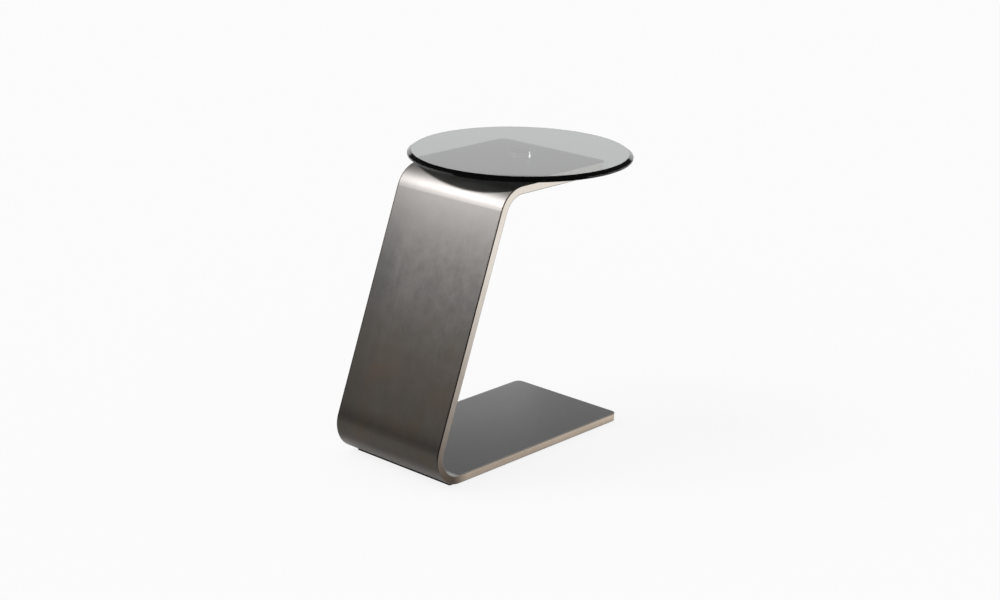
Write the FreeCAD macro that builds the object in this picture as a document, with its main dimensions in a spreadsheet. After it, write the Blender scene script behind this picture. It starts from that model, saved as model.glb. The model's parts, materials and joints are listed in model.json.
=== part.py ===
import FreeCAD
import Part
import enum
import math
import os
import Sketcher

# A side table: a round bevelled glass top on a polished hub, carried by a
# board bent into a leaning C. The board is a formed plywood core between two
# metal skins, with metal strips along its edges, on two black foot strips.
# X runs from the lower bend (the heel) to the open side, Z up from the floor.
# The origin is on the floor, midway between the heel and the far glass rim.

# Driving dimensions in millimetres, and one angle in degrees.
SIZES = {
    # Bent board
    "frame_width": 278,
    "board_thickness": 16,
    "skin_thickness": 1.2,
    "strip_depth": 6,
    "end_strip_depth": 16,
    "corner_radius": 14,
    "arris": 0.4,
    "lean_angle": 20.3,
    "heel_radius": 61,
    "shoulder_radius": 61,
    "base_length": 540,
    "shelf_level": 563,
    "shelf_overrun": 103,
    # Glass top
    "glass_reach": 370,
    "glass_diameter": 450,
    "glass_thickness": 10,
    "bevel_width": 8,
    "bevel_depth": 5.5,
    "glass_arris": 1,
    # Hub and its fixing
    "hub_diameter": 40,
    "hub_height": 11,
    "hub_edge": 0.8,
    "pad_diameter": 36,
    "pad_thickness": 1,
    "screw_diameter": 8,
    "screw_engagement": 8,
    "screw_tip": 1,
    "screw_head_diameter": 14,
    "screw_head_height": 4.4,
    "screw_head_dome": 2.4,
    "socket_width": 5,
    "socket_depth": 2.6,
    "washer_diameter": 24,
    "washer_thickness": 1.6,
    "sleeve_wall": 2.5,
    "bore_spare": 1,
    "hole_clearance": 0.5,
    "thread_clearance": 0.1,
    # Foot strips and their screws
    "foot_height": 4,
    "foot_width": 20,
    "foot_side_inset": 11,
    "foot_corner": 3,
    "heel_to_front_foot": 46,
    "rear_foot_to_end": 20,
    "foot_screw_diameter": 3.5,
    "foot_screw_length": 12,
    "foot_screw_point": 4,
    "foot_screw_head": 7,
    "foot_screw_recess": 0.5,
    "foot_screw_spacing": 100,
}

# Places worked out from the driving dimensions.
HEEL_X = "-(Dims.glass_reach / 2 + Dims.glass_diameter / 4)"
AXIS_X = "(Dims.glass_reach / 2 - Dims.glass_diameter / 4)"
SHELF_LENGTH = "(Dims.glass_reach + Dims.shelf_overrun)"
HALF_WIDTH = "Dims.frame_width / 2"
LEFT_STRIP_OFFSET = "-" + HALF_WIDTH
RIGHT_STRIP_OFFSET = HALF_WIDTH + " - Dims.strip_depth"
CORE_THICKNESS = "(Dims.board_thickness - 2 * Dims.skin_thickness)"
CORE_WIDTH = "(Dims.frame_width - 2 * Dims.strip_depth)"
HUB_LEVEL = "Dims.shelf_level + Dims.pad_thickness"
GLASS_LEVEL = "Dims.shelf_level + Dims.pad_thickness + Dims.hub_height"
SHELF_UNDERSIDE = "Dims.shelf_level - Dims.board_thickness"
BASE_CORE_LEVEL = "Dims.foot_height + Dims.skin_thickness"
SHELF_CORE_LEVEL = SHELF_UNDERSIDE + " + Dims.skin_thickness"
WASHER_LEVEL = SHELF_UNDERSIDE + " - Dims.washer_thickness"
SCREW_HOLE = "(Dims.screw_diameter + 2 * Dims.hole_clearance)"
SLEEVE_DIAMETER = "(Dims.screw_diameter + 2 * Dims.hole_clearance + 2 * Dims.sleeve_wall)"
SLEEVE_HOLE = SLEEVE_DIAMETER + " + 2 * Dims.thread_clearance"
SCREW_REACH = (
    "(Dims.washer_thickness + Dims.board_thickness"
    " + Dims.pad_thickness + Dims.screw_engagement)"
)
FOOT_SCREW_HOLE = "(Dims.foot_screw_diameter + 2 * Dims.thread_clearance)"
FRONT_FOOT_X = "(Dims.heel_to_front_foot + Dims.foot_width / 2)"
REAR_FOOT_X = "(Dims.base_length - Dims.rear_foot_to_end - Dims.foot_width / 2)"
FOOT_SCREW_STEPS = (-1, 0, 1)
INNER_FACE = "Dims.board_thickness - Dims.skin_thickness"

# The lines of the bent board's side view, in drawing order.
OUTER_RUN = ("underside", "heel", "spine", "shoulder", "shelf")
INNER_RUN = ("inner_shelf", "inner_shoulder", "inner_spine", "inner_heel", "inner_base")
BAND_LINES = OUTER_RUN + ("shelf_end",) + INNER_RUN + ("base_end",)

TOLERANCE = 1e-4
SMOOTH_ANGLE = 8

# The points of a sketch line are numbered from 1 in this order, and a sketch's
# own axes, counted down from -1, are X and Y.
Spot = enum.IntEnum("Spot", "START END CENTRE")
X_AXIS = -1
Y_AXIS = X_AXIS - 1
ORIGIN = (X_AXIS, Spot.START)

doc = FreeCAD.newDocument("side_table")
sheet = doc.addObject("Spreadsheet::Sheet", "Dims")
for row, (name, value) in enumerate(SIZES.items(), start=1):
    sheet.set(f"A{row}", name)
    sheet.set(f"B{row}", str(value))
    sheet.setAlias(f"B{row}", name)
doc.recompute()


def measure(expression):
    """The number that an expression over the sheet comes to."""
    return float(doc.Dims.evalExpression(expression))


def new_body(label, x="0", z="0"):
    """A body of its own, standing at x, z in the table's frame."""
    body = doc.addObject("PartDesign::Body", label)
    body.Label = label
    body.setExpression("Placement.Base.x", x)
    body.setExpression("Placement.Base.z", z)
    return body


def new_sketch(body, name, role, offset=None):
    """A sketch on one of the body's own planes, moved along its normal."""
    sketch = body.newObject("Sketcher::SketchObject", name)
    plane = next(item for item in body.Origin.OriginFeatures if item.Role == role)
    sketch.AttachmentSupport = [(plane, "")]
    sketch.MapMode = "FlatFace"
    if offset is not None:
        sketch.setExpression("AttachmentOffset.Base.z", offset)
    return sketch


def drive(sketch, kind, terms, name, expression):
    """Add a dimension to a sketch and bind it to the sheet."""
    index = sketch.addConstraint(Sketcher.Constraint(kind, *terms, measure(expression)))
    sketch.renameConstraint(index, name)
    sketch.setExpression("Constraints." + name, expression)


def pin_point(sketch, item, point, x, y, name):
    """Hold a point of a sketch at the distances x and y from its origin."""
    if x == "0":
        sketch.addConstraint(Sketcher.Constraint("PointOnObject", item, point, Y_AXIS))
    else:
        drive(sketch, "DistanceX", (*ORIGIN, item, point), name + "_x", x)
    if y == "0":
        sketch.addConstraint(Sketcher.Constraint("PointOnObject", item, point, X_AXIS))
    else:
        drive(sketch, "DistanceY", (*ORIGIN, item, point), name + "_y", y)


def polygon(sketch, points):
    """Draw a closed outline through points given as pairs of expressions."""
    places = [FreeCAD.Vector(measure(x), measure(y), 0) for x, y in points]
    count = len(points)
    for index in range(count):
        sketch.addGeometry(Part.LineSegment(places[index], places[(index + 1) % count]))
    for index in range(count):
        following = (index + 1) % count
        sketch.addConstraint(Sketcher.Constraint("Coincident", index, Spot.END, following, Spot.START))
    for index, (x, y) in enumerate(points):
        pin_point(sketch, index, Spot.START, x, y, f"corner_{index}")


def rectangle(sketch, x_low, x_high, half_length):
    """Draw a rectangle that lies evenly about the sketch's X axis."""
    polygon(sketch, [
        (x_low, f"-{half_length}"),
        (x_high, f"-{half_length}"),
        (x_high, half_length),
        (x_low, half_length),
    ])


def circles(sketch, centres, diameter):
    """Draw one circle of the same diameter round each centre."""
    for index, (x, y) in enumerate(centres):
        middle = FreeCAD.Vector(measure(x), measure(y), 0)
        circle = Part.Circle(middle, FreeCAD.Vector(0, 0, 1), measure(diameter) / 2)
        sketch.addGeometry(circle)
        pin_point(sketch, index, Spot.CENTRE, x, y, f"hole_{index}")
        drive(sketch, "Diameter", (index,), f"hole_{index}_diameter", diameter)


def pad(body, sketch, length, both_ways=False):
    """Raise a sketch to a solid, along its normal or evenly both ways."""
    feature = body.newObject("PartDesign::Pad", sketch.Name + "_pad")
    feature.Profile = sketch
    feature.Midplane = both_ways
    feature.setExpression("Length", length)
    doc.recompute()
    return feature


def pocket(body, sketch, depth, upward):
    """Cut a sketch out of the body, and make sure that it takes some away."""
    before = body.Shape.Volume
    feature = body.newObject("PartDesign::Pocket", sketch.Name + "_cut")
    feature.Profile = sketch
    feature.Reversed = upward
    feature.setExpression("Length", depth)
    doc.recompute()
    if body.Shape.Volume >= before:
        raise RuntimeError(feature.Name + " cuts nothing")


def turn(body, points):
    """Turn a half section about the body's upright axis."""
    sketch = new_sketch(body, body.Name + "_section", "XZ_Plane")
    polygon(sketch, points)
    feature = body.newObject("PartDesign::Revolution", body.Name + "_turned")
    feature.Profile = sketch
    feature.ReferenceAxis = (sketch, ["V_Axis"])
    feature.Angle = 360
    doc.recompute()
    return feature


def ring(label, x, z, bore, diameter, thickness):
    """A flat ring or tube standing on level z."""
    body = new_body(label, x, z)
    inner = bore + " / 2"
    outer = diameter + " / 2"
    turn(body, [(inner, "0"), (outer, "0"), (outer, thickness), (inner, thickness)])
    return body


def edge_names(shape, wanted):
    """The names of the edges of a shape that a test picks out."""
    return [f"Edge{n}" for n, edge in enumerate(shape.Edges, start=1) if wanted(edge)]


def dress(body, kind, edges, prop, expression):
    """Round or chamfer some edges of the body's last feature."""
    base = body.Tip
    feature = body.newObject("PartDesign::" + kind, f"{body.Name}_{kind.lower()}")
    feature.Base = (base, edges)
    feature.setExpression(prop, expression)
    doc.recompute()


def band_sketch(body, outer, inner, trim, offset=None):
    """The side view of one layer of the bent board.

    The layer lies between the depths outer and inner below the board's outer
    face, and both its ends stop short of the board's ends by trim.
    """
    sketch = new_sketch(body, body.Name + "_band", "XZ_Plane", offset)
    lean = math.radians(measure("Dims.lean_angle"))
    heel = measure("Dims.heel_radius")
    shoulder = measure("Dims.shoulder_radius")
    depths = (measure(outer), measure(inner))
    heel_centre = FreeCAD.Vector(heel, measure("Dims.foot_height") + heel, 0)
    rise = measure("Dims.shelf_level") - shoulder - heel_centre.y
    run = rise * math.tan(lean) - (heel - shoulder) / math.cos(lean)
    shoulder_centre = heel_centre + FreeCAD.Vector(run, rise, 0)
    base_end = measure(f"Dims.base_length - ({trim})")
    shelf_end = measure(f"{SHELF_LENGTH} - ({trim})")
    spine_angle = math.pi - lean
    down = 1.5 * math.pi
    up = 0.5 * math.pi

    def arc(centre, radius, first, last):
        circle = Part.Circle(centre, FreeCAD.Vector(0, 0, 1), radius)
        return Part.ArcOfCircle(circle, first, last)

    outer_heel, inner_heel = (arc(heel_centre, heel - d, spine_angle, down) for d in depths)
    outer_shoulder, inner_shoulder = (arc(shoulder_centre, shoulder - d, up, spine_angle) for d in depths)
    outer_foot = FreeCAD.Vector(base_end, outer_heel.EndPoint.y, 0)
    inner_foot = FreeCAD.Vector(base_end, inner_heel.EndPoint.y, 0)
    outer_tip = FreeCAD.Vector(shelf_end, outer_shoulder.StartPoint.y, 0)
    inner_tip = FreeCAD.Vector(shelf_end, inner_shoulder.StartPoint.y, 0)
    sketch.addGeometry([
        Part.LineSegment(outer_foot, outer_heel.EndPoint),
        outer_heel,
        Part.LineSegment(outer_heel.StartPoint, outer_shoulder.EndPoint),
        outer_shoulder,
        Part.LineSegment(outer_shoulder.StartPoint, outer_tip),
        Part.LineSegment(outer_tip, inner_tip),
        Part.LineSegment(inner_tip, inner_shoulder.StartPoint),
        inner_shoulder,
        Part.LineSegment(inner_shoulder.EndPoint, inner_heel.StartPoint),
        inner_heel,
        Part.LineSegment(inner_heel.EndPoint, inner_foot),
        Part.LineSegment(inner_foot, outer_foot),
    ])
    item = {name: index for index, name in enumerate(BAND_LINES)}
    smooth = (
        ("underside", Spot.END, "heel", Spot.END),
        ("heel", Spot.START, "spine", Spot.START),
        ("spine", Spot.END, "shoulder", Spot.END),
        ("shoulder", Spot.START, "shelf", Spot.START),
        ("inner_shelf", Spot.END, "inner_shoulder", Spot.START),
        ("inner_shoulder", Spot.END, "inner_spine", Spot.START),
        ("inner_spine", Spot.END, "inner_heel", Spot.START),
        ("inner_heel", Spot.END, "inner_base", Spot.START),
    )
    corners = (
        ("shelf", Spot.END, "shelf_end", Spot.START),
        ("shelf_end", Spot.END, "inner_shelf", Spot.START),
        ("inner_base", Spot.END, "base_end", Spot.START),
        ("base_end", Spot.END, "underside", Spot.START),
        ("heel", Spot.CENTRE, "inner_heel", Spot.CENTRE),
        ("shoulder", Spot.CENTRE, "inner_shoulder", Spot.CENTRE),
    )
    for kind, pairs in (("Tangent", smooth), ("Coincident", corners)):
        for first, first_point, second, second_point in pairs:
            ends = (item[first], first_point, item[second], second_point)
            sketch.addConstraint(Sketcher.Constraint(kind, *ends))
    for name in ("underside", "shelf", "inner_shelf", "inner_base"):
        sketch.addConstraint(Sketcher.Constraint("Horizontal", item[name]))
    for name in ("shelf_end", "base_end"):
        sketch.addConstraint(Sketcher.Constraint("Vertical", item[name]))
    for prefix, depth in (("", outer), ("inner_", inner)):
        for bend in ("heel", "shoulder"):
            radius = f"Dims.{bend}_radius - ({depth})"
            drive(sketch, "Radius", (item[prefix + bend],), f"{prefix}{bend}_radius", radius)
    heel_level = "Dims.foot_height + Dims.heel_radius"
    shoulder_level = "Dims.shelf_level - Dims.shoulder_radius"
    pin_point(sketch, item["heel"], Spot.CENTRE, "Dims.heel_radius", heel_level, "heel_centre")
    drive(sketch, "DistanceY", (*ORIGIN, item["shoulder"], Spot.CENTRE), "shoulder_level", shoulder_level)
    base_length = f"Dims.base_length - ({trim})"
    shelf_length = f"{SHELF_LENGTH} - ({trim})"
    drive(sketch, "DistanceX", (*ORIGIN, item["base_end"], Spot.END), "base_length", base_length)
    drive(sketch, "DistanceX", (*ORIGIN, item["shelf_end"], Spot.START), "shelf_length", shelf_length)
    index = sketch.addConstraint(Sketcher.Constraint("Angle", item["spine"], up - lean))
    sketch.renameConstraint(index, "spine_slope")
    sketch.setExpression("Constraints.spine_slope", "(90 - Dims.lean_angle) * 1 deg")
    return sketch


def is_upright(edge):
    """A straight edge along the body's Z."""
    first, last = (vertex.Point for vertex in edge.Vertexes)
    return math.hypot(last.x - first.x, last.y - first.y) < TOLERANCE


def is_board_corner(edge):
    """An upright edge at a side of the board, where its plan has a corner."""
    return is_upright(edge) and abs(abs(edge.Vertexes[0].Y) - measure(HALF_WIDTH)) < TOLERANCE


def shows_on(sketch, run):
    """A test for edges that lie over some lines of a sketch, at any depth."""
    stretch = Part.Compound([sketch.Geometry[BAND_LINES.index(name)].toShape() for name in run])

    def test(edge):
        middle = edge.valueAt((edge.FirstParameter + edge.LastParameter) / 2)
        flat = Part.Vertex(FreeCAD.Vector(middle.x, middle.z, 0))
        return flat.distToShape(stretch)[0] < TOLERANCE

    return test


def drill_shelf(body, diameter):
    """The hole for the hub screw, through the shelf only."""
    sketch = new_sketch(body, body.Name + "_hub_hole", "XY_Plane", "Dims.shelf_level")
    circles(sketch, [("Dims.glass_reach", "0")], diameter)
    pocket(body, sketch, "Dims.board_thickness", upward=False)


def foot_screw_row():
    """How far along a foot strip its screws lie from its middle."""
    return ["0" if step == 0 else f"{step} * Dims.foot_screw_spacing" for step in FOOT_SCREW_STEPS]


def drill_base(body, depth):
    """The holes for the foot screws, from the floor up to a height."""
    sketch = new_sketch(body, body.Name + "_foot_holes", "XY_Plane")
    centres = [(x, y) for x in (FRONT_FOOT_X, REAR_FOOT_X) for y in foot_screw_row()]
    circles(sketch, centres, FOOT_SCREW_HOLE)
    pocket(body, sketch, depth, upward=True)


def make_core():
    """The formed plywood core, with the bores for its fixings."""
    body = new_body("frame_core", HEEL_X)
    sketch = band_sketch(body, "Dims.skin_thickness", INNER_FACE, "Dims.end_strip_depth")
    pad(body, sketch, CORE_WIDTH, both_ways=True)
    drill_shelf(body, SLEEVE_HOLE)
    drill_base(body, "Dims.foot_screw_recess + Dims.foot_screw_length + Dims.thread_clearance")
    return body


def is_sharp(shape, edge):
    """An edge where two faces meet at a corner and don't run on smoothly."""
    middle = edge.valueAt((edge.FirstParameter + edge.LastParameter) / 2)
    faces = shape.ancestorsOfType(edge, Part.Face)
    first, second = (face.normalAt(*face.Surface.parameter(middle)) for face in faces)
    return abs(first.dot(second)) < math.cos(math.radians(SMOOTH_ANGLE))


def make_skin(label, outer, inner, run):
    """A metal skin over one face of the board, with its shown edges eased."""
    body = new_body(label, HEEL_X)
    sketch = band_sketch(body, outer, inner, "0")
    solid = pad(body, sketch, "Dims.frame_width", both_ways=True)
    corners = edge_names(solid.Shape, is_board_corner)
    dress(body, "Fillet", corners, "Radius", "Dims.corner_radius")
    rounded = body.Tip.Shape
    is_shown = shows_on(sketch, run)
    rim = edge_names(rounded, lambda edge: is_shown(edge) and is_sharp(rounded, edge))
    dress(body, "Chamfer", rim, "Size", "Dims.arris")
    drill_shelf(body, SCREW_HOLE)
    return body


def make_outer_skin():
    """The skin under the base, up the spine's back and over the shelf."""
    body = make_skin("outer_skin", "0", "Dims.skin_thickness", OUTER_RUN)
    drill_base(body, "Dims.foot_height + Dims.board_thickness / 2")
    return body


def make_inner_skin():
    """The skin over the base, up the spine's front and under the shelf."""
    return make_skin("inner_skin", INNER_FACE, "Dims.board_thickness", INNER_RUN)


def make_side_strip(label, offset):
    """A metal strip along one side of the core, between the skins."""
    body = new_body(label, HEEL_X)
    sketch = band_sketch(body, "Dims.skin_thickness", INNER_FACE, "Dims.end_strip_depth", offset)
    pad(body, sketch, "Dims.strip_depth")
    return body


def make_end_strip(label, board_end, level):
    """A metal strip across one end of the board, with the board's round corners."""
    body = new_body(label, f"{HEEL_X} + {board_end}", level)
    sketch = new_sketch(body, label + "_plan", "XY_Plane")
    rectangle(sketch, "-Dims.end_strip_depth", "0", HALF_WIDTH)
    solid = pad(body, sketch, CORE_THICKNESS)
    corners = edge_names(solid.Shape, lambda edge: is_upright(edge) and abs(edge.Vertexes[0].X) < TOLERANCE)
    dress(body, "Fillet", corners, "Radius", "Dims.corner_radius")
    return body


def make_glass():
    """The round glass top, bevelled above and eased below."""
    body = new_body("glass_top", AXIS_X, GLASS_LEVEL)
    radius = "Dims.glass_diameter / 2"
    turn(body, [
        ("0", "0"),
        (f"{radius} - Dims.glass_arris", "0"),
        (radius, "Dims.glass_arris"),
        (radius, "Dims.glass_thickness - Dims.bevel_depth"),
        (f"{radius} - Dims.bevel_width", "Dims.glass_thickness"),
        ("0", "Dims.glass_thickness"),
    ])
    return body


def make_hub():
    """The polished hub bonded under the glass, bored for its screw."""
    body = new_body("glass_hub", AXIS_X, HUB_LEVEL)
    radius = "Dims.hub_diameter / 2"
    bore = "Dims.screw_diameter / 2 + Dims.thread_clearance"
    depth = "Dims.screw_engagement + Dims.bore_spare"
    turn(body, [
        (bore, "0"),
        (f"{radius} - Dims.hub_edge", "0"),
        (radius, "Dims.hub_edge"),
        (radius, "Dims.hub_height - Dims.hub_edge"),
        (f"{radius} - Dims.hub_edge", "Dims.hub_height"),
        ("0", "Dims.hub_height"),
        ("0", depth),
        (bore, depth),
    ])
    return body


def make_hub_screw():
    """The screw that holds the hub to the shelf, with a hexagon socket."""
    body = new_body("hub_screw", AXIS_X, WASHER_LEVEL)
    head = "Dims.screw_head_diameter / 2"
    shank = "Dims.screw_diameter / 2"
    turn(body, [
        ("0", "-Dims.screw_head_height"),
        (f"{head} - Dims.screw_head_dome", "-Dims.screw_head_height"),
        (head, "Dims.screw_head_dome - Dims.screw_head_height"),
        (head, "0"),
        (shank, "0"),
        (shank, f"{SCREW_REACH} - Dims.screw_tip"),
        (f"{shank} - Dims.screw_tip", SCREW_REACH),
        ("0", SCREW_REACH),
    ])
    sketch = new_sketch(body, "hub_screw_socket", "XY_Plane", "-Dims.screw_head_height")
    corners = []
    for side in range(6):
        turned = f"({side} * 60 deg)"
        reach = "Dims.socket_width / (2 * cos(30 deg))"
        corners.append((f"{reach} * cos({turned})", f"{reach} * sin({turned})"))
    polygon(sketch, corners)
    pocket(body, sketch, "Dims.socket_depth", upward=True)
    return body


def make_foot(label, middle):
    """A black strip across the underside, countersunk for three screws."""
    body = new_body(label, f"{HEEL_X} + {middle}")
    sketch = new_sketch(body, label + "_plan", "XY_Plane")
    half_length = f"({HALF_WIDTH} - Dims.foot_side_inset)"
    rectangle(sketch, "-Dims.foot_width / 2", "Dims.foot_width / 2", half_length)
    solid = pad(body, sketch, "Dims.foot_height")
    dress(body, "Fillet", edge_names(solid.Shape, is_upright), "Radius", "Dims.foot_corner")
    sketch = new_sketch(body, label + "_holes", "XY_Plane")
    circles(sketch, [("0", y) for y in foot_screw_row()], FOOT_SCREW_HOLE)
    before = body.Shape.Volume
    hole = body.newObject("PartDesign::Hole", label + "_countersinks")
    hole.Profile = sketch
    doc.recompute()
    hole.Reversed = True
    hole.DepthType = "ThroughAll"
    hole.setExpression("Diameter", FOOT_SCREW_HOLE)
    hole.HoleCutType = "Countersink"
    hole.HoleCutCustomValues = True
    hole.HoleCutCountersinkAngle = 90
    head_hole = "Dims.foot_screw_head + 2 * Dims.foot_screw_recess + 2 * Dims.thread_clearance"
    hole.setExpression("HoleCutDiameter", head_hole)
    doc.recompute()
    if body.Shape.Volume >= before:
        raise RuntimeError(hole.Name + " cuts nothing")
    return body


def make_foot_screws(label, middle):
    """The countersunk screws of one foot strip, as one group."""
    screws = []
    for number, y in enumerate(foot_screw_row(), start=1):
        screw = new_body(f"{label}_{number}", f"{HEEL_X} + {middle}", "Dims.foot_screw_recess")
        screw.setExpression("Placement.Base.y", y)
        shank = "Dims.foot_screw_diameter / 2"
        head = "Dims.foot_screw_head / 2"
        turn(screw, [
            ("0", "0"),
            (head, "0"),
            (shank, f"{head} - {shank}"),
            (shank, "Dims.foot_screw_length - Dims.foot_screw_point"),
            ("0", "Dims.foot_screw_length"),
        ])
        screws.append(screw)
    group = doc.addObject("Part::Compound", label)
    group.Label = label
    group.Links = screws
    return group


sub_parts = [
    make_core(),
    make_outer_skin(),
    make_inner_skin(),
    make_side_strip("left_edge_strip", LEFT_STRIP_OFFSET),
    make_side_strip("right_edge_strip", RIGHT_STRIP_OFFSET),
    make_end_strip("base_end_strip", "Dims.base_length", BASE_CORE_LEVEL),
    make_end_strip("shelf_end_strip", SHELF_LENGTH, SHELF_CORE_LEVEL),
    make_glass(),
    make_hub(),
    ring("hub_pad", AXIS_X, "Dims.shelf_level", SCREW_HOLE, "Dims.pad_diameter", "Dims.pad_thickness"),
    ring("hub_sleeve", AXIS_X, SHELF_CORE_LEVEL, SCREW_HOLE, SLEEVE_DIAMETER, CORE_THICKNESS),
    ring("hub_washer", AXIS_X, WASHER_LEVEL, SCREW_HOLE, "Dims.washer_diameter", "Dims.washer_thickness"),
    make_hub_screw(),
    make_foot("front_foot_strip", FRONT_FOOT_X),
    make_foot("rear_foot_strip", REAR_FOOT_X),
    make_foot_screws("front_foot_screws", FRONT_FOOT_X),
    make_foot_screws("rear_foot_screws", REAR_FOOT_X),
]
doc.recompute()

for item in doc.Objects:
    if "Invalid" in item.State or "Error" in item.State:
        raise RuntimeError(item.Name + " failed to build")
for item in sub_parts:
    if item.Shape.isNull() or not item.Shape.isValid():
        raise RuntimeError(item.Label + " has no valid shape")

os.makedirs("parts", exist_ok=True)
for item in sub_parts:
    item.Shape.exportStep(f"parts/{item.Label}.step")
    box = item.Shape.BoundBox
    print(f"{item.Label}: {box.XLength:.1f} x {box.YLength:.1f} x {box.ZLength:.1f} mm")
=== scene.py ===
import json
import math

import bmesh
import bpy
from mathutils import Matrix, Vector


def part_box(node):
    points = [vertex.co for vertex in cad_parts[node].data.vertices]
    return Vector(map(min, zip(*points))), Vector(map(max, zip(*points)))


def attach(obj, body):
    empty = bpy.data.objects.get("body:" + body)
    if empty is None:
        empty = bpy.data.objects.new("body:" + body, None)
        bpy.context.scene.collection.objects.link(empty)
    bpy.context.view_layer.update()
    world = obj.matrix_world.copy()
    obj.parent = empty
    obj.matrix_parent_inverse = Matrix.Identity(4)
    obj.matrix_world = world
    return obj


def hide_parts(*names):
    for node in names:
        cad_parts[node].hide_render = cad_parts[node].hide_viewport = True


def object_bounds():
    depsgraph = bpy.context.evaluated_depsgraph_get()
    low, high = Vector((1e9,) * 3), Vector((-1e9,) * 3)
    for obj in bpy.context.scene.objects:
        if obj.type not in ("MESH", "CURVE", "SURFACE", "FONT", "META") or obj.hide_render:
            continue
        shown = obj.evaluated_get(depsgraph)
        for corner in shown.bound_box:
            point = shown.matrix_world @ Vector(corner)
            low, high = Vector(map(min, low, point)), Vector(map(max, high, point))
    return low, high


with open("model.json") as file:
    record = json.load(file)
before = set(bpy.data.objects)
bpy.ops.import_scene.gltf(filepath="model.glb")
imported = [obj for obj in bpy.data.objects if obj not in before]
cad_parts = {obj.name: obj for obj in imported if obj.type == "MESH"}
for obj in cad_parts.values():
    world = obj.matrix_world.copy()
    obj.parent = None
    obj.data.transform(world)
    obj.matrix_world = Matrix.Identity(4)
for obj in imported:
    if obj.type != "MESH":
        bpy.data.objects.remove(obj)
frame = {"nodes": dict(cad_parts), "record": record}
cad_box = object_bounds()

# The camera, in metres and degrees: it turns about the target, and the image is 1000 x 600.
CAMERA_TARGET = Vector((-0.0524, -0.0674, 0.3155))
CAMERA_DISTANCE = 3.6866
CAMERA_AZIMUTH = -47.99
CAMERA_ELEVATION = 17.66
CAMERA_ROLL = 1.31
IMAGE_WIDTH = 1000
FOCAL_LENGTH_PIXELS = 1880.6
SENSOR_WIDTH = 36.0

# Glass top, in metres: its section, and the small arcs and support points at the corners of the section.
GLASS_BEVEL_WIDTH = 0.008
GLASS_BEVEL_DEPTH = 0.0055
GLASS_ARRIS = 0.001
GLASS_EDGE_RADIUS = 0.0004
GLASS_SUPPORT = 0.0004
GLASS_SEGMENTS = 360
ROUNDING_STEPS = 5

# Glass: its refraction, its tint, its density per metre, and the faint smudges on it, which begin and are
# full at these values of their noise. Every frequency here is in waves per metre along X, Y and Z.
GLASS_IOR = 1.52
GLASS_TINT = (0.0, 0.05, 0.045)
GLASS_DENSITY = 107.0
SMUDGE_FREQUENCY = (40, 40, 40)
SMUDGE_NOISE = (0.5, 0.8)
SMUDGE_ROUGHNESS = 0.012

# Metals have fine lines and slow clouds: their shares in the tone, how far the lines change the roughness,
# and the lines' depth in metres.
CLOUD_FREQUENCY = (38, 38, 38)
LINE_SHARE = 0.4
CLOUD_SHARE = 0.6
LINE_ROUGHNESS = 0.05
LINE_DEPTH = 0.0001

# Lines brushed along the skins, and the line along their cut edges, which on the inner skin is a pale painted
# highlight: how far it reaches in from the sides, and the levels above the floor between which the outer
# skin's line fades out, in metres.
SKIN_LINES = (14, 900, 14)
SKIN_RELIEF = 0.04
SKIN_EDGE_START = 0.0028
SKIN_EDGE_FULL = 0.0018
EDGE_FADE_LEVELS = (0.05, 0.08)

# Brown stains on the skins: where they begin and are full, in metres above the floor, their noise and its
# shift in waves, the values between which it forms a patch, and how strong they are beside a patch and in it.
STAIN_LEVELS = (0.36, 0.2)
STAIN_FREQUENCY = (13, 13, 13)
STAIN_SHIFT = (0.0, 10.2, 5.4)
STAIN_NOISE = (0.46, 0.7)
STAIN_SHARES = (0.45, 1.0)

# The skins' cleaner upper part, in metres above the floor, and how even its tone is.
CLEAN_LEVELS = (0.4, 0.52)
CLEAN_SHARE = 0.8

# Painted shade on the outer skin's side at +Y: where it begins and is full, in metres from the middle, and
# how strong it is.
SIDE_SHADE_REACH = (0.06, 0.13)
SIDE_SHADE_SHARE = 0.5
SIDE_SHADE_COLOUR = (0.055, 0.0545, 0.054)

# Where the outer skin is rubbed smoother round the lower bend, and where it is painted paler under it as a
# painted reflection of the floor, in metres above the floor.
BEND_LEVELS = (0.12, 0.075)
FLOOR_REFLECTION_LEVELS = (0.05, 0.014)
FLOOR_REFLECTION_COLOUR = (0.27, 0.258, 0.243)

# Edge strips, in metres: painted shade with some tarnish makes them dark at the lower bend, and they are pale
# at the top of the spine, and plain on the base, which begins this far from the heel and ends at these
# levels.
EDGE_LINES = (260, 260, 260)
EDGE_RELIEF = 0.05
DARK_LEVEL = 0.03
PALE_LEVEL = 0.45
SHADE_AND_TARNISH_SPREAD = 0.06
SHADE_AND_TARNISH_FREQUENCY = (60, 60, 25)
BASE_DEPTHS = (0.04, 0.09)
BASE_LEVELS = (0.06, 0.025)

# Hub: how far it is bare metal, and how strong its lathe marks are and which way they turn, in whole turns.
HUB_METALLIC = 0.8
HUB_ANISOTROPY = 0.95
HUB_MARKS_TURN = 0.25

# Grain of rubber and wood: its depth, in metres.
GRAIN_DEPTH = 0.0002

# Floor: how far it reaches towards the camera and to every other side, and how white the camera sees it.
FLOOR_FRONT = 0.9
FLOOR_REACH = 12.0
FLOOR_COLOUR = (0.88, 0.88, 0.88)
FLOOR_WHITE_SHARE = 0.85

# Light paths that see the floor and the surroundings as plain white.
WHITE_RAYS = ("Is Camera Ray", "Is Transmission Ray")

# Surroundings: the plain fill, the white that the camera sees, and what reflections show, which is a white
# backdrop behind the table, pale walls round it and an unlit room on its left and overhead. The side edges
# are cosines of the turn away from the view or from the unlit side, and the others sines of the elevation.
WORLD_FILL = 0.63
BACKGROUND_LEVEL = 0.965
ROOM_LEVEL = 0.05
WALL_LEVEL = 0.8
UNLIT_AZIMUTH = 135.0
UNLIT_SIDE_EDGE = (0.9, 0.5)
WALL_FOOT = (0.0, 0.1)
BACKDROP_SIDE_EDGE = (0.88, 0.93)
WALL_SIDE_EDGE = (0.8, 0.65)
BACKDROP_TOP_EDGE = (0.24, 0.53)

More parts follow.
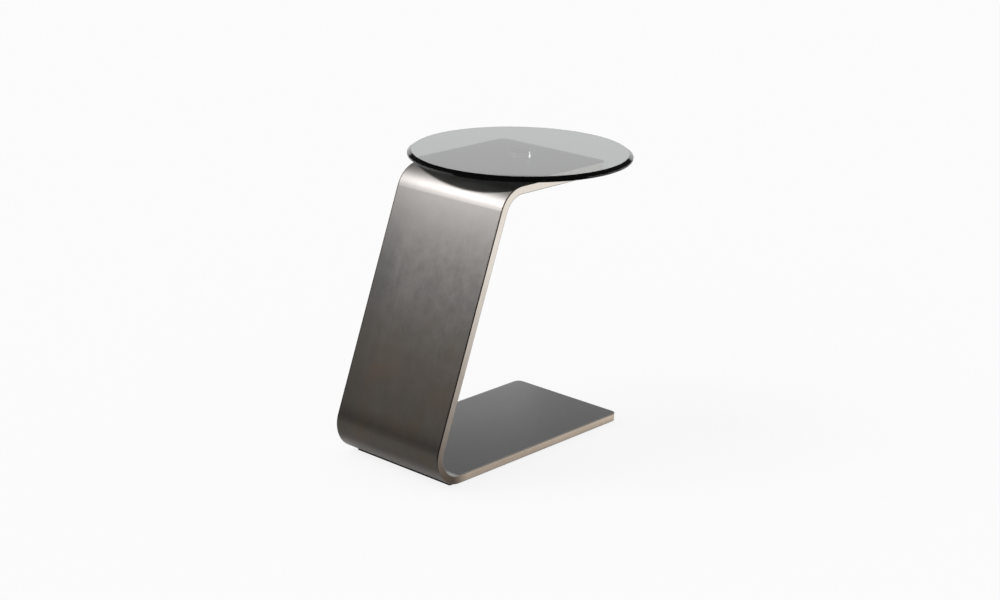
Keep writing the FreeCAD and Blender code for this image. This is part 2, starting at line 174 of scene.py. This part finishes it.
# The key light, and the lamps and panels that only reflections show, in degrees, metres and watts.
KEY_AZIMUTH = 140.0
KEY_ELEVATION = 48.0
KEY_SPREAD = 40.0
KEY_LEVEL = 1.15
SIDE_LAMP_PLACE = Vector((-0.514, 0.33, 0.947))
SIDE_LAMP_RADIUS = 0.035
SIDE_LAMP_POWER = 80.0
HUB_LAMP_AZIMUTH = 2.0
HUB_LAMP_DISTANCE = 0.6
HUB_LAMP_RADIUS = 0.01
HUB_LAMP_POWER = 115.0
BACK_PANEL_MIDDLE = Vector((0.0, 0.0, 1.08))
BACK_PANEL_DISTANCE = 3.6
BACK_PANEL_SIZE = (1.8, 0.86)
BACK_PANEL_LEVEL = 1.28
LOW_PANEL_MIDDLE = Vector((-0.194, 0.216, 0.115))
LOW_PANEL_DISTANCE = 0.9
LOW_PANEL_SIZE = (0.8, 0.23)
LOW_PANEL_LEVEL = 2.2


class Nodes:
    """A node tree that is built up by short calls."""

    def __init__(self, owner, output):
        owner.use_nodes = True
        self.owner = owner
        self.tree = owner.node_tree
        self.tree.nodes.clear()
        self.output = self.add(output)

    def feed(self, place, term):
        """Join a socket to an input, or set the input to a plain value."""
        if isinstance(term, bpy.types.NodeSocket):
            self.tree.links.new(term, place)
        else:
            place.default_value = term

    def add(self, kind, **values):
        """A new node; values are its settings, or its sockets by name."""
        node = self.tree.nodes.new(kind)
        for key, value in values.items():
            if hasattr(node, key):
                setattr(node, key, value)
            else:
                self.feed(node.inputs[key.replace("_", " ")], value)
        return node

    def source(self, place):
        """The socket that an input is joined to."""
        return place.links[0].from_socket

    def end(self, name, socket):
        """Join a socket to the tree's output."""
        self.feed(self.output.inputs[name], socket)

    def math(self, operation, *terms):
        """The result of one operation on sockets and plain numbers."""
        node = self.add("ShaderNodeMath", operation=operation)
        for place, term in zip(node.inputs, terms):
            self.feed(place, term)
        return node.outputs["Value"]

    def dot(self, first, second):
        """The dot product of two vectors."""
        node = self.add("ShaderNodeVectorMath", operation="DOT_PRODUCT")
        for place, vector in zip(node.inputs, (first, second)):
            self.feed(place, vector)
        return node.outputs["Value"]

    def between(self, value, start, end, low=0.0, high=1.0):
        """A value that moves smoothly from low to high between start and end."""
        node = self.add("ShaderNodeMapRange", interpolation_type="SMOOTHSTEP", Value=value)
        for name, number in (("From Min", start), ("From Max", end), ("To Min", low), ("To Max", high)):
            node.inputs[name].default_value = number
        return node.outputs["Result"]

    def colours(self, value, dark, light, start=0.3, end=0.7):
        """A colour that goes from dark to light as a value rises."""
        ramp = self.add("ShaderNodeValToRGB", Fac=value)
        for element, position, colour in zip(ramp.color_ramp.elements, (start, end), (dark, light)):
            element.position = position
            element.color = (*colour, 1)
        return ramp.outputs["Color"]

    def mix(self, factor, first, second):
        """A number between two numbers."""
        node = self.add("ShaderNodeMix", data_type="FLOAT", Factor=factor, A=first, B=second)
        return node.outputs["Result"]

    def blend(self, factor, first, second):
        """A colour between two colours."""
        node = self.add("ShaderNodeMix", data_type="RGBA", Factor=factor)
        places = [place for place in node.inputs if place.type == "RGBA"]
        for place, colour in zip(places, (first, second)):
            self.feed(place, colour)
        return next(place for place in node.outputs if place.type == "RGBA")

    def axes(self):
        """The table's own X, Y and Z."""
        place = self.add("ShaderNodeTexCoord").outputs["Object"]
        return self.add("ShaderNodeSeparateXYZ", Vector=place).outputs

    def noise(self, frequency, detail=4.0, roughness=0.5, shift=(0, 0, 0)):
        """Noise in the table's own coordinates, with a frequency and a shift for each axis."""
        place = self.add("ShaderNodeTexCoord").outputs["Object"]
        stretched = self.add("ShaderNodeMapping", Vector=place, Scale=frequency, Location=shift)
        noise = self.add("ShaderNodeTexNoise", Vector=stretched.outputs["Vector"], Scale=1.0)
        noise.inputs["Detail"].default_value = detail
        noise.inputs["Roughness"].default_value = roughness
        return noise.outputs["Fac"]

    def relief(self, value, strength, distance):
        """Surface relief from a value."""
        bump = self.add("ShaderNodeBump", Height=value, Strength=strength, Distance=distance)
        return bump.outputs["Normal"]


def surface_nodes(name, **values):
    """A new material's node tree and its surface shader."""
    nodes = Nodes(bpy.data.materials.new(name), "ShaderNodeOutputMaterial")
    surface = nodes.add("ShaderNodeBsdfPrincipled", **values)
    nodes.end("Surface", surface.outputs["BSDF"])
    return nodes, surface


def brushed_metal(name, dark, light, roughness, lines, relief):
    """Satin metal with fine lines and a slow change of tone."""
    nodes, surface = surface_nodes(name, Metallic=1.0)
    line = nodes.noise(lines, detail=3.0)
    cloud = nodes.noise(CLOUD_FREQUENCY, roughness=0.6)
    tone = nodes.math("MULTIPLY_ADD", line, LINE_SHARE, nodes.math("MULTIPLY", cloud, CLOUD_SHARE))
    nodes.feed(surface.inputs["Base Color"], nodes.colours(tone, dark, light))
    spread = nodes.between(line, 0.0, 1.0, roughness - LINE_ROUGHNESS, roughness + LINE_ROUGHNESS)
    nodes.feed(surface.inputs["Roughness"], spread)
    nodes.feed(surface.inputs["Normal"], nodes.relief(line, relief, LINE_DEPTH))
    return nodes, surface


def skin_metal(name, dark, light, stain, edge, shade_sheen_and_fade, roughness, bend_roughness, metallic):
    """Dark skin metal, stained low down and even at the top, with a line along its cut edges.

    Where shade_sheen_and_fade is 1, it also darkens to one side as painted shade, is paler round the lower
    bend as a painted reflection of the floor, and loses that line there.
    """
    half_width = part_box("outer_skin")[1].y
    nodes, surface = brushed_metal(name, dark, light, roughness, SKIN_LINES, SKIN_RELIEF)
    surface.inputs["Metallic"].default_value = metallic
    plain = nodes.source(surface.inputs["Base Color"])
    axes = nodes.axes()
    middle = [(low + high) / 2 for low, high in zip(dark, light)]
    # Painted shade: the outer skin darkens towards its side at +Y.
    to_side = nodes.between(axes["Y"], *SIDE_SHADE_REACH, 0.0, SIDE_SHADE_SHARE * shade_sheen_and_fade)
    shaded = nodes.blend(to_side, plain, (*SIDE_SHADE_COLOUR, 1))
    high_up = nodes.between(axes["Z"], *CLEAN_LEVELS, 0.0, CLEAN_SHARE)
    clean = nodes.blend(high_up, shaded, (*middle, 1))
    patch = nodes.between(nodes.noise(STAIN_FREQUENCY, shift=STAIN_SHIFT), *STAIN_NOISE, *STAIN_SHARES)
    low_down = nodes.between(axes["Z"], *STAIN_LEVELS)
    stained = nodes.blend(nodes.math("MULTIPLY", patch, low_down), clean, (*stain, 1))
    from_middle = nodes.math("ABSOLUTE", axes["Y"])
    # The line along the cut edges; the inner skin's pale one is a painted highlight.
    at_edge = nodes.between(from_middle, half_width - SKIN_EDGE_START, half_width - SKIN_EDGE_FULL)
    above_bend = nodes.between(axes["Z"], *EDGE_FADE_LEVELS, 1.0 - shade_sheen_and_fade, 1.0)
    lined = nodes.blend(nodes.math("MULTIPLY", at_edge, above_bend), stained, (*edge, 1))
    # Painted reflection of the floor: the outer skin is paler just above the floor.
    with_floor_reflection = nodes.blend(nodes.between(axes["Z"], *FLOOR_REFLECTION_LEVELS, 0.0, shade_sheen_and_fade), lined, (*FLOOR_REFLECTION_COLOUR, 1))
    nodes.feed(surface.inputs["Base Color"], with_floor_reflection)
    brushed = nodes.source(surface.inputs["Roughness"])
    smoother = nodes.between(axes["Z"], *BEND_LEVELS, 0.0, bend_roughness - roughness)
    nodes.feed(surface.inputs["Roughness"], nodes.math("ADD", brushed, smoother))
    return nodes.owner


def plain_metal(name, **values):
    """A brushed metal with nothing more on it."""
    nodes, _ = brushed_metal(name, **values)
    return nodes.owner


def turned_metal(name, **values):
    """Metal with fine lathe marks round it, which draw its highlights out along its axis."""
    nodes, surface = brushed_metal(name, **values)
    surface.inputs["Metallic"].default_value = HUB_METALLIC
    surface.inputs["Anisotropic"].default_value = HUB_ANISOTROPY
    surface.inputs["Anisotropic Rotation"].default_value = HUB_MARKS_TURN
    nodes.feed(surface.inputs["Tangent"], nodes.add("ShaderNodeTangent", axis="Z").outputs["Tangent"])
    return nodes.owner


def edge_metal(name, dark, light, shade_and_tarnish, pale, roughness):
    """Warm ground metal, darkened at the lower bend by painted shade and tarnish, and paler up the spine."""
    nodes, surface = brushed_metal(name, dark, light, roughness, EDGE_LINES, EDGE_RELIEF)
    plain = nodes.source(surface.inputs["Base Color"])
    axes = nodes.axes()
    # Painted shade with tarnish: the strips' tone falls towards the lower bend.
    level = nodes.math("MULTIPLY_ADD", nodes.noise(SHADE_AND_TARNISH_FREQUENCY), SHADE_AND_TARNISH_SPREAD, axes["Z"])
    centred = nodes.math("SUBTRACT", level, SHADE_AND_TARNISH_SPREAD / 2)
    spine = nodes.colours(centred, shade_and_tarnish, pale, DARK_LEVEL, PALE_LEVEL)
    past_bend = nodes.between(axes["X"], *(cad_box[0].x + depth for depth in BASE_DEPTHS))
    on_base = nodes.math("MULTIPLY", past_bend, nodes.between(axes["Z"], *BASE_LEVELS))
    nodes.feed(surface.inputs["Base Color"], nodes.blend(on_base, spine, plain))
    return nodes.owner


def smoked_glass():
    """Grey glass that darkens with the depth of glass looked through."""
    nodes, surface = surface_nodes("smoked_glass_look", IOR=GLASS_IOR, Transmission_Weight=1.0)
    surface.inputs["Base Color"].default_value = (1, 1, 1, 1)
    smudge = nodes.noise(SMUDGE_FREQUENCY, roughness=0.6)
    nodes.feed(surface.inputs["Roughness"], nodes.between(smudge, *SMUDGE_NOISE, 0.0, SMUDGE_ROUGHNESS))
    volume = nodes.add("ShaderNodeVolumeAbsorption", Color=(*GLASS_TINT, 1), Density=GLASS_DENSITY)
    nodes.end("Volume", volume.outputs["Volume"])
    return nodes.owner


def grained(name, dark, light, roughness, grain, detail, relief, specular):
    """A matt material with a grain in its tone, roughness and relief."""
    nodes, surface = surface_nodes(name)
    surface.inputs["Specular IOR Level"].default_value = specular
    value = nodes.noise(grain, detail)
    nodes.feed(surface.inputs["Base Color"], nodes.colours(value, dark, light))
    nodes.feed(surface.inputs["Roughness"], nodes.between(value, 0.0, 1.0, *roughness))
    nodes.feed(surface.inputs["Normal"], nodes.relief(value, relief, GRAIN_DEPTH))
    return nodes.owner


# The material of each of the record's slots.
LOOKS = {
    "outer_metal": skin_metal(
        "outer_metal_look", dark=(0.07, 0.0665, 0.064), light=(0.108, 0.1025, 0.0985),
        stain=(0.102, 0.083, 0.066), edge=(0.016, 0.012, 0.009), shade_sheen_and_fade=1.0,
        roughness=0.56, bend_roughness=0.42, metallic=1.0),
    # The inner skin's pale edge colour is a painted highlight along its cut edges.
    "inner_metal": skin_metal(
        "inner_metal_look", dark=(0.075, 0.076, 0.077), light=(0.1, 0.1, 0.1),
        stain=(0.088, 0.087, 0.086), edge=(0.3, 0.28, 0.26), shade_sheen_and_fade=0.0,
        roughness=0.34, bend_roughness=0.34, metallic=0.5),
    # The edge strips' dark colour at the lower bend is painted shade as well as tarnish.
    "edge_metal": edge_metal(
        "edge_metal_look", dark=(0.9, 0.74, 0.59), light=(0.99, 0.84, 0.69),
        shade_and_tarnish=(0.18, 0.14, 0.11), pale=(0.98, 0.9, 0.81), roughness=0.22),
    "polished_steel": turned_metal(
        "polished_steel_look", dark=(0.76, 0.76, 0.76), light=(0.82, 0.82, 0.82),
        roughness=0.4, lines=(40, 40, 900), relief=0.02),
    "fixing_steel": plain_metal(
        "fixing_steel_look", dark=(0.5, 0.5, 0.48), light=(0.66, 0.66, 0.63),
        roughness=0.35, lines=(300, 300, 300), relief=0.05),
    "smoked_glass": smoked_glass(),
    "black_rubber": grained(
        "black_rubber_look", dark=(0.004, 0.004, 0.004), light=(0.01, 0.01, 0.01),
        roughness=(0.5, 0.8), grain=(900, 900, 900), detail=3.0, relief=0.3, specular=0.2),
    "plywood": grained(
        "plywood_look", dark=(0.30, 0.19, 0.10), light=(0.48, 0.33, 0.19),
        roughness=(0.4, 0.7), grain=(60, 900, 60), detail=5.0, relief=0.2, specular=0.5),
}
for part in frame["record"]["subparts"]:
    for place in frame["nodes"][part["node"]].material_slots:
        place.material = LOOKS[part["material_slot"]]


def add_object(name, data):
    """An object for a mesh, lamp or camera, in the scene."""
    thing = bpy.data.objects.new(name, data)
    bpy.context.scene.collection.objects.link(thing)
    return thing


def rounded_section(corners, radius):
    """A section's points with a small arc at each inner corner and support points beside it."""
    points = [corners[0]]
    for before, corner, after in zip(corners, corners[1:], corners[2:]):
        back = (before - corner).normalized()
        ahead = (after - corner).normalized()
        half_angle = back.angle(ahead) / 2
        reach = radius / math.tan(half_angle)
        centre = corner + (back + ahead).normalized() * radius / math.sin(half_angle)
        start = corner + back * reach
        end = corner + ahead * reach
        points.append(start + back * GLASS_SUPPORT)
        first = (start - centre).normalized()
        last = (end - centre).normalized()
        for step in range(ROUNDING_STEPS + 1):
            points.append(centre + first.slerp(last, step / ROUNDING_STEPS) * radius)
        points.append(end + ahead * GLASS_SUPPORT)
    return points + [corners[-1]]


def make_glass():
    """The round glass top, turned from its half section, with softly rounded arrises."""
    low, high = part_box("glass_top")
    radius = (high.x - low.x) / 2
    corners = [
        Vector((0, low.z)),
        Vector((radius - GLASS_ARRIS, low.z)),
        Vector((radius, low.z + GLASS_ARRIS)),
        Vector((radius, high.z - GLASS_BEVEL_DEPTH)),
        Vector((radius - GLASS_BEVEL_WIDTH, high.z)),
        Vector((0, high.z)),
    ]
    middle = (low + high) / 2
    work = bmesh.new()
    rings = []
    for out, level in rounded_section(corners, GLASS_EDGE_RADIUS)[1:-1]:
        ring = []
        for step in range(GLASS_SEGMENTS):
            turn = 2 * math.pi * step / GLASS_SEGMENTS
            across = middle.x + out * math.cos(turn)
            along = middle.y + out * math.sin(turn)
            ring.append(work.verts.new((across, along, level)))
        rings.append(ring)
    for lower, upper in zip(rings, rings[1:]):
        for step in range(GLASS_SEGMENTS):
            following = (step + 1) % GLASS_SEGMENTS
            work.faces.new((lower[step], lower[following], upper[following], upper[step]))
    work.faces.new(reversed(rings[0]))
    work.faces.new(rings[-1])
    for face in work.faces:
        face.smooth = True
    mesh = bpy.data.meshes.new("glass_disc")
    work.to_mesh(mesh)
    work.free()
    mesh.materials.append(LOOKS["smoked_glass"])
    glass = add_object("glass_disc", mesh)
    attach(glass, "root")
    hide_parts("glass_top")


make_glass()


def heading(azimuth, elevation=0.0):
    """The unit vector at an azimuth from +X and an elevation, in degrees."""
    turn = math.radians(azimuth)
    rise = math.radians(elevation)
    return Vector((math.cos(turn) * math.cos(rise), math.sin(turn) * math.cos(rise), math.sin(rise)))


# The level directions along the view and to its right.
INTO_VIEW = heading(CAMERA_AZIMUTH + 90)
TO_RIGHT = heading(CAMERA_AZIMUTH)


def stage_plane(name, middle, right, up, material):
    """A flat stage piece about its middle, with its half sizes as vectors."""
    corners = [middle - right - up, middle + right - up, middle + right + up, middle - right + up]
    mesh = bpy.data.meshes.new(name)
    mesh.from_pydata(corners, [], [(0, 1, 2, 3)])
    mesh.materials.append(material)
    plane = add_object(name, mesh)
    return plane


def seen_white(nodes):
    """1 for the light paths that see white, and 0 for the others."""
    path = nodes.add("ShaderNodeLightPath").outputs
    return nodes.math("MAXIMUM", *(path[ray] for ray in WHITE_RAYS))


def floor_material():
    """A pale floor that the camera sees as white, with the table's shadow on it."""
    nodes = Nodes(bpy.data.materials.new("floor_look"), "ShaderNodeOutputMaterial")
    paint = nodes.add("ShaderNodeBsdfDiffuse", Color=(*FLOOR_COLOUR, 1))
    white = nodes.add("ShaderNodeEmission", Strength=1.0)
    seen = seen_white(nodes)
    mix = nodes.add("ShaderNodeMixShader", Fac=nodes.math("MULTIPLY", seen, FLOOR_WHITE_SHARE))
    nodes.feed(mix.inputs[1], paint.outputs["BSDF"])
    nodes.feed(mix.inputs[2], white.outputs["Emission"])
    nodes.end("Surface", mix.outputs["Shader"])
    return nodes.owner


def build_floor():
    """The floor, which ends in front of the picture as a studio's paper does."""
    depth = (FLOOR_REACH + FLOOR_FRONT) / 2
    middle = INTO_VIEW * (depth - FLOOR_FRONT)
    stage_plane("floor", middle, TO_RIGHT * FLOOR_REACH, INTO_VIEW * depth, floor_material())


def build_world():
    """White to the camera, a plain fill on matt surfaces, and a studio in reflections."""
    world = bpy.data.worlds.new("studio")
    bpy.context.scene.world = world
    nodes = Nodes(world, "ShaderNodeOutputWorld")
    way = nodes.add("ShaderNodeTexCoord").outputs["Generated"]
    height = nodes.add("ShaderNodeSeparateXYZ", Vector=way).outputs["Z"]
    behind = nodes.between(nodes.dot(way, INTO_VIEW), *BACKDROP_SIDE_EDGE)
    round_table = nodes.between(nodes.dot(way, heading(UNLIT_AZIMUTH)), *UNLIT_SIDE_EDGE, 0.0, WALL_LEVEL)
    beside = nodes.between(nodes.dot(way, INTO_VIEW), *WALL_SIDE_EDGE)
    above_floor = nodes.between(height, *WALL_FOOT)
    wall = nodes.math("MULTIPLY", nodes.math("MULTIPLY", round_table, beside), above_floor)
    below_top = nodes.between(height, *BACKDROP_TOP_EDGE, 1.0, 0.0)
    lit = nodes.math("MULTIPLY", nodes.math("MAXIMUM", behind, wall), below_top)
    studio = nodes.between(lit, 0.0, 1.0, ROOM_LEVEL, 1.0)
    path = nodes.add("ShaderNodeLightPath").outputs
    reflected = nodes.math("SUBTRACT", path["Glossy Depth"], path["Is Diffuse Ray"])
    white = seen_white(nodes)
    plain = nodes.mix(white, WORLD_FILL, BACKGROUND_LEVEL)
    level = nodes.mix(reflected, plain, studio)
    sky = nodes.add("ShaderNodeBackground", Color=(1, 1, 1, 1), Strength=level)
    nodes.end("Surface", sky.outputs["Background"])


def show_in_reflections(thing):
    """Keep a lamp or panel out of everything but reflections."""
    thing.visible_camera = False
    thing.visible_diffuse = False
    thing.visible_transmission = False
    thing.visible_shadow = False


def add_panel(name, middle, distance, size, level):
    """An upright light panel behind the table, across the view, that shows in reflections."""
    nodes = Nodes(bpy.data.materials.new(name + "_look"), "ShaderNodeOutputMaterial")
    glow = nodes.add("ShaderNodeEmission", Strength=level)
    nodes.end("Surface", glow.outputs["Emission"])
    width, height = size
    right = TO_RIGHT * width / 2
    up = Vector((0, 0, height / 2))
    panel = stage_plane(name, middle + INTO_VIEW * distance, right, up, nodes.owner)
    show_in_reflections(panel)


def add_key():
    """The studio's broad soft light, from above on the left."""
    lamp = bpy.data.lights.new("key", "SUN")
    lamp.angle = math.radians(KEY_SPREAD)
    lamp.energy = KEY_LEVEL
    thing = add_object("key", lamp)
    away = heading(KEY_AZIMUTH, KEY_ELEVATION)
    thing.location = away
    thing.rotation_euler = (-away).to_track_quat("-Z", "Y").to_euler()
    thing.visible_glossy = False


def add_lamp(name, place, radius, power):
    """A small round lamp that shows in reflections."""
    lamp = bpy.data.lights.new(name, "POINT")
    lamp.shadow_soft_size = radius
    lamp.energy = power
    thing = add_object(name, lamp)
    thing.location = place
    show_in_reflections(thing)
    return thing


def add_side_lamp():
    """The lamp on the left, which shows as the sheen on the spine and the upper bend."""
    add_lamp("side_lamp", SIDE_LAMP_PLACE, SIDE_LAMP_RADIUS, SIDE_LAMP_POWER)


def add_hub_lamp():
    """A lamp level with the hub, for the hub alone, which shows as the bright line on it."""
    low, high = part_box("glass_hub")
    place = (low + high) / 2 + heading(HUB_LAMP_AZIMUTH) * HUB_LAMP_DISTANCE
    thing = add_lamp("hub_lamp", place, HUB_LAMP_RADIUS, HUB_LAMP_POWER)
    lit = bpy.data.collections.new("hub_lamp_lit")
    lit.objects.link(frame["nodes"]["glass_hub"])
    thing.light_linking.receiver_collection = lit


build_floor()
build_world()
add_side_lamp()
add_hub_lamp()
add_panel("back_panel", BACK_PANEL_MIDDLE, BACK_PANEL_DISTANCE, BACK_PANEL_SIZE, BACK_PANEL_LEVEL)
add_panel("low_panel", LOW_PANEL_MIDDLE, LOW_PANEL_DISTANCE, LOW_PANEL_SIZE, LOW_PANEL_LEVEL)
add_key()


def add_camera():
    """The camera at the photograph's angle."""
    elevation = math.radians(CAMERA_ELEVATION)
    roll = math.radians(CAMERA_ROLL)
    back = Vector((0, 0, math.sin(elevation))) - INTO_VIEW * math.cos(elevation)
    upright = back.cross(TO_RIGHT)
    right = math.cos(roll) * TO_RIGHT + math.sin(roll) * upright
    up = math.cos(roll) * upright - math.sin(roll) * TO_RIGHT
    lens = bpy.data.cameras.new("camera")
    lens.sensor_width = SENSOR_WIDTH
    lens.lens = FOCAL_LENGTH_PIXELS * SENSOR_WIDTH / IMAGE_WIDTH
    camera = add_object("camera", lens)
    turned = Matrix((right, up, back)).transposed().to_4x4()
    camera.matrix_world = Matrix.Translation(CAMERA_TARGET + back * CAMERA_DISTANCE) @ turned
    bpy.context.scene.camera = camera


add_camera()
bpy.context.scene.view_settings.view_transform = "Standard"
